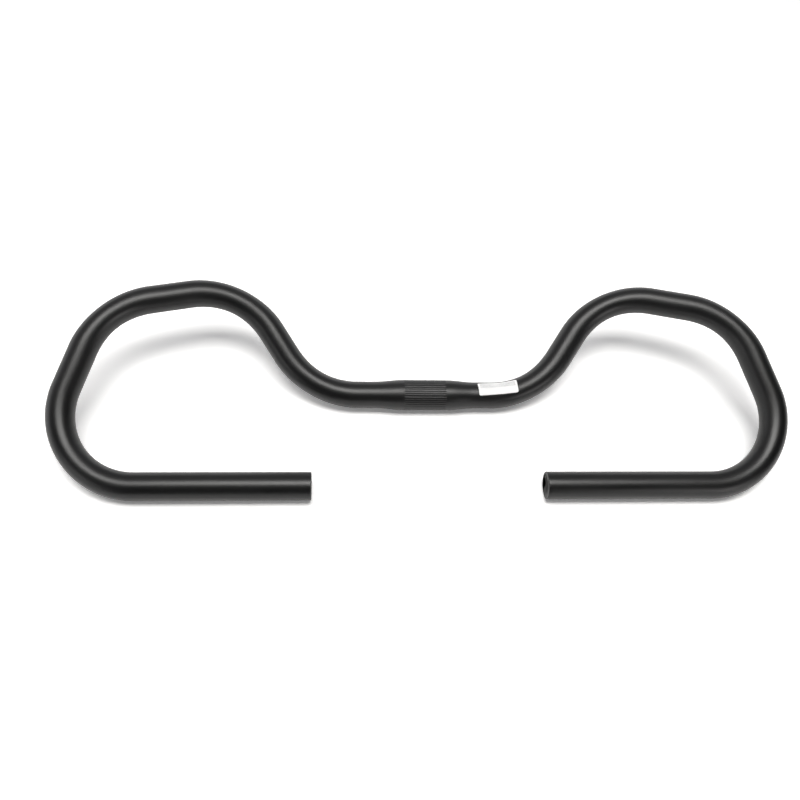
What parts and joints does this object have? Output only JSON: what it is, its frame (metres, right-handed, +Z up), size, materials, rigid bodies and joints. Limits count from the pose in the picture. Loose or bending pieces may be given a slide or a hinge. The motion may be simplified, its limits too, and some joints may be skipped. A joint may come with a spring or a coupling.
{
  "type": "trekking handlebar",
  "caption": "One bent tube that loops forward and back on each side of a knurled clamp zone, for a bicycle rider's many hand positions.",
  "frame": {"origin": "centre of the clamp band, on the axis of the tube there", "axes": "+X along the clamp axis to the rider's right, +Y forward away from the rider, +Z up from the table the bar lies on"},
  "size_m": [0.5968, 0.175, 0.0755],
  "materials": {
    "black_tube": "satin black anodised or painted, matt to the touch",
    "label_paper": "matte white paper"
  },
  "bodies": {
    "root": {"handlebar_tube": "black_tube", "paper_label": "label_paper"}
  },
  "joints": []
}
